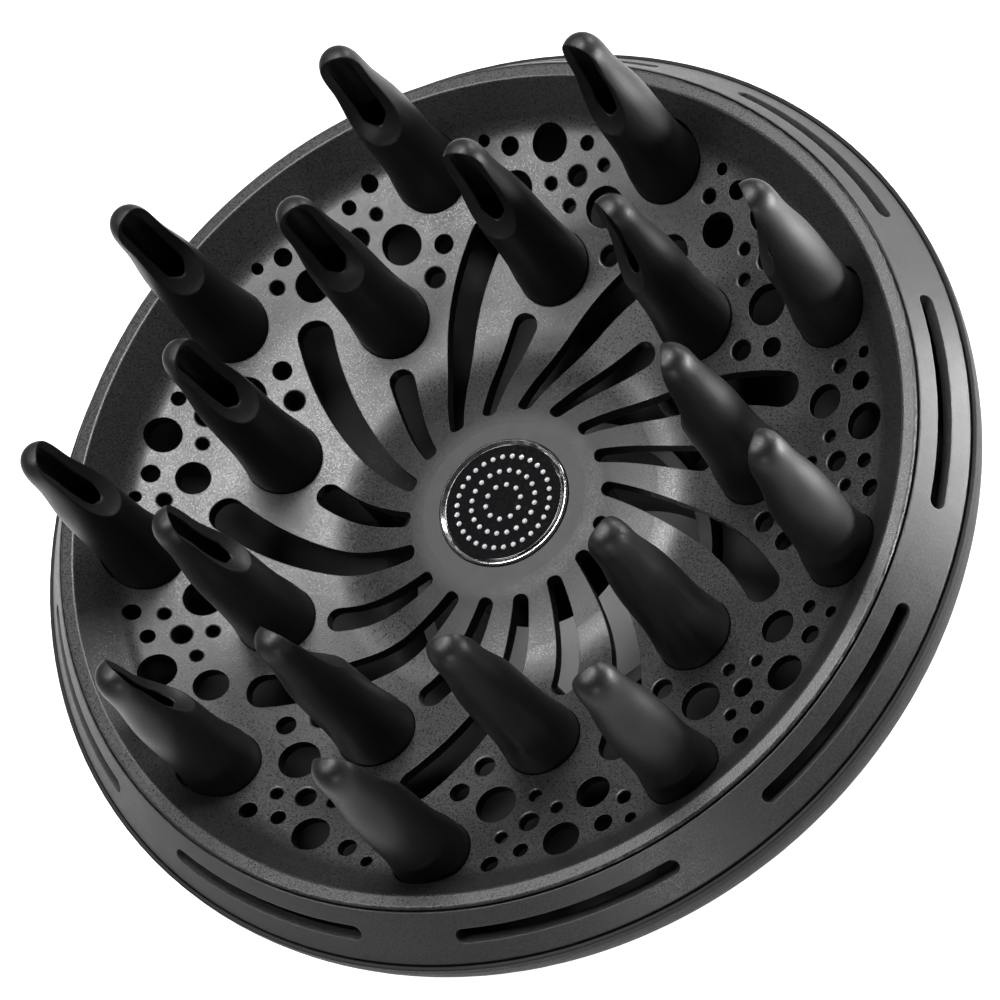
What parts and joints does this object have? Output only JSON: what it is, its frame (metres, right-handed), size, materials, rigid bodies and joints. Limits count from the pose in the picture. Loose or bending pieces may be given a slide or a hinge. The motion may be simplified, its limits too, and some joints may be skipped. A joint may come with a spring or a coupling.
{
  "type": "dryer diffuser",
  "caption": "Hair dryer diffuser: a shallow perforated dish with hollow tapered fingers, a slotted vent ring round the rim, a rear bowl and a push-on nozzle socket.",
  "frame": {"origin": "centre of the neck's open end, where the dryer's nozzle goes in; the lowest point of the part", "axes": "+Z along the diffuser's axis, from the neck to the finger tips; +Y through the first outer finger; +X completes the right-handed frame"},
  "size_m": [0.1534, 0.1534, 0.0987],
  "materials": {
    "body_plastic": "satin black moulded plastic",
    "finger_plastic": "satin black, softly shiny",
    "socket_plastic": "fine satin black",
    "bright_trim": "polished",
    "badge_black": "high gloss black",
    "crystal": "clear cut crystal",
    "screw_steel": "plain zinc-plated steel"
  },
  "bodies": {
    "diffuser": {"front_plate": "body_plastic", "vent_ring": "body_plastic", "rear_shell": "body_plastic", "nozzle_collar": "socket_plastic", "badge_bezel": "bright_trim", "badge_insert": "badge_black", "badge_crystals": "crystal", "air_deflector": "body_plastic", "deflector_screw": "screw_steel", "shell_screws": "screw_steel", "finger_outer_1": "finger_plastic", "finger_outer_2": "finger_plastic", "finger_outer_3": "finger_plastic", "finger_outer_4": "finger_plastic", "finger_outer_5": "finger_plastic", "finger_outer_6": "finger_plastic", "finger_outer_7": "finger_plastic", "finger_outer_8": "finger_plastic", "finger_outer_9": "finger_plastic", "finger_inner_1": "finger_plastic", "finger_inner_2": "finger_plastic", "finger_inner_3": "finger_plastic", "finger_inner_4": "finger_plastic", "finger_inner_5": "finger_plastic", "finger_inner_6": "finger_plastic", "finger_inner_7": "finger_plastic", "finger_inner_8": "finger_plastic", "finger_inner_9": "finger_plastic"},
    "tongue_1": {"latch_tongue_1": "socket_plastic"},
    "tongue_2": {"latch_tongue_2": "socket_plastic"},
    "tongue_3": {"latch_tongue_3": "socket_plastic"}
  },
  "joints": [
    {"name": "tongue_1_flex", "type": "hinge", "parent": "diffuser", "child": "tongue_1", "pos_m": [0.02039, 0.01178, 0.013], "axis": [-0.5, 0.866, 0], "range_deg": [0, 3.5], "stiffness_Nm_per_rad": 1.5},
    {"name": "tongue_2_flex", "type": "hinge", "parent": "diffuser", "child": "tongue_2", "pos_m": [-0.02039, 0.01178, 0.013], "axis": [-0.5, -0.866, 0], "range_deg": [0, 3.5], "stiffness_Nm_per_rad": 1.5},
    {"name": "tongue_3_flex", "type": "hinge", "parent": "diffuser", "child": "tongue_3", "pos_m": [0, -0.02355, 0.013], "axis": [1, 0, 0], "range_deg": [0, 3.5], "stiffness_Nm_per_rad": 1.5}
  ]
}
